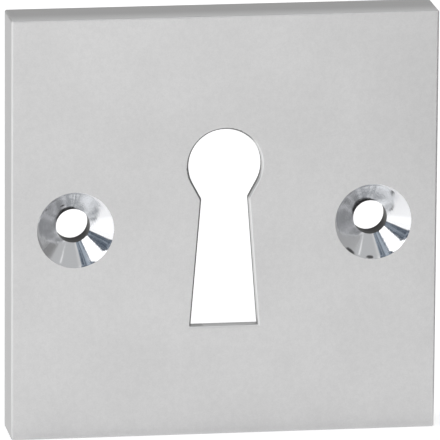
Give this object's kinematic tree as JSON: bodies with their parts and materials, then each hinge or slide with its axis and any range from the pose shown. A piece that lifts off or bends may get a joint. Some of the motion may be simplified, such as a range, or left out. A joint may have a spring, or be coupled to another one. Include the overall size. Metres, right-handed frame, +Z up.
{
  "type": "keyhole escutcheon",
  "caption": "Square plate with a keyhole through it and countersunk screw holes to each side, hollow behind, that covers a keyhole in a door or drawer front.",
  "frame": {"origin": "middle of the back plane, where the rim lies on the door or drawer front", "axes": "+X to the right seen from the front, +Y towards the back and into the door, +Z up, towards the keyhole's round end"},
  "size_m": [0.05, 0.0065, 0.05],
  "materials": {
    "satin_aluminium": "fine satin, with bright turned countersinks"
  },
  "bodies": {
    "root": {"escutcheon_plate": "satin_aluminium"}
  },
  "joints": []
}
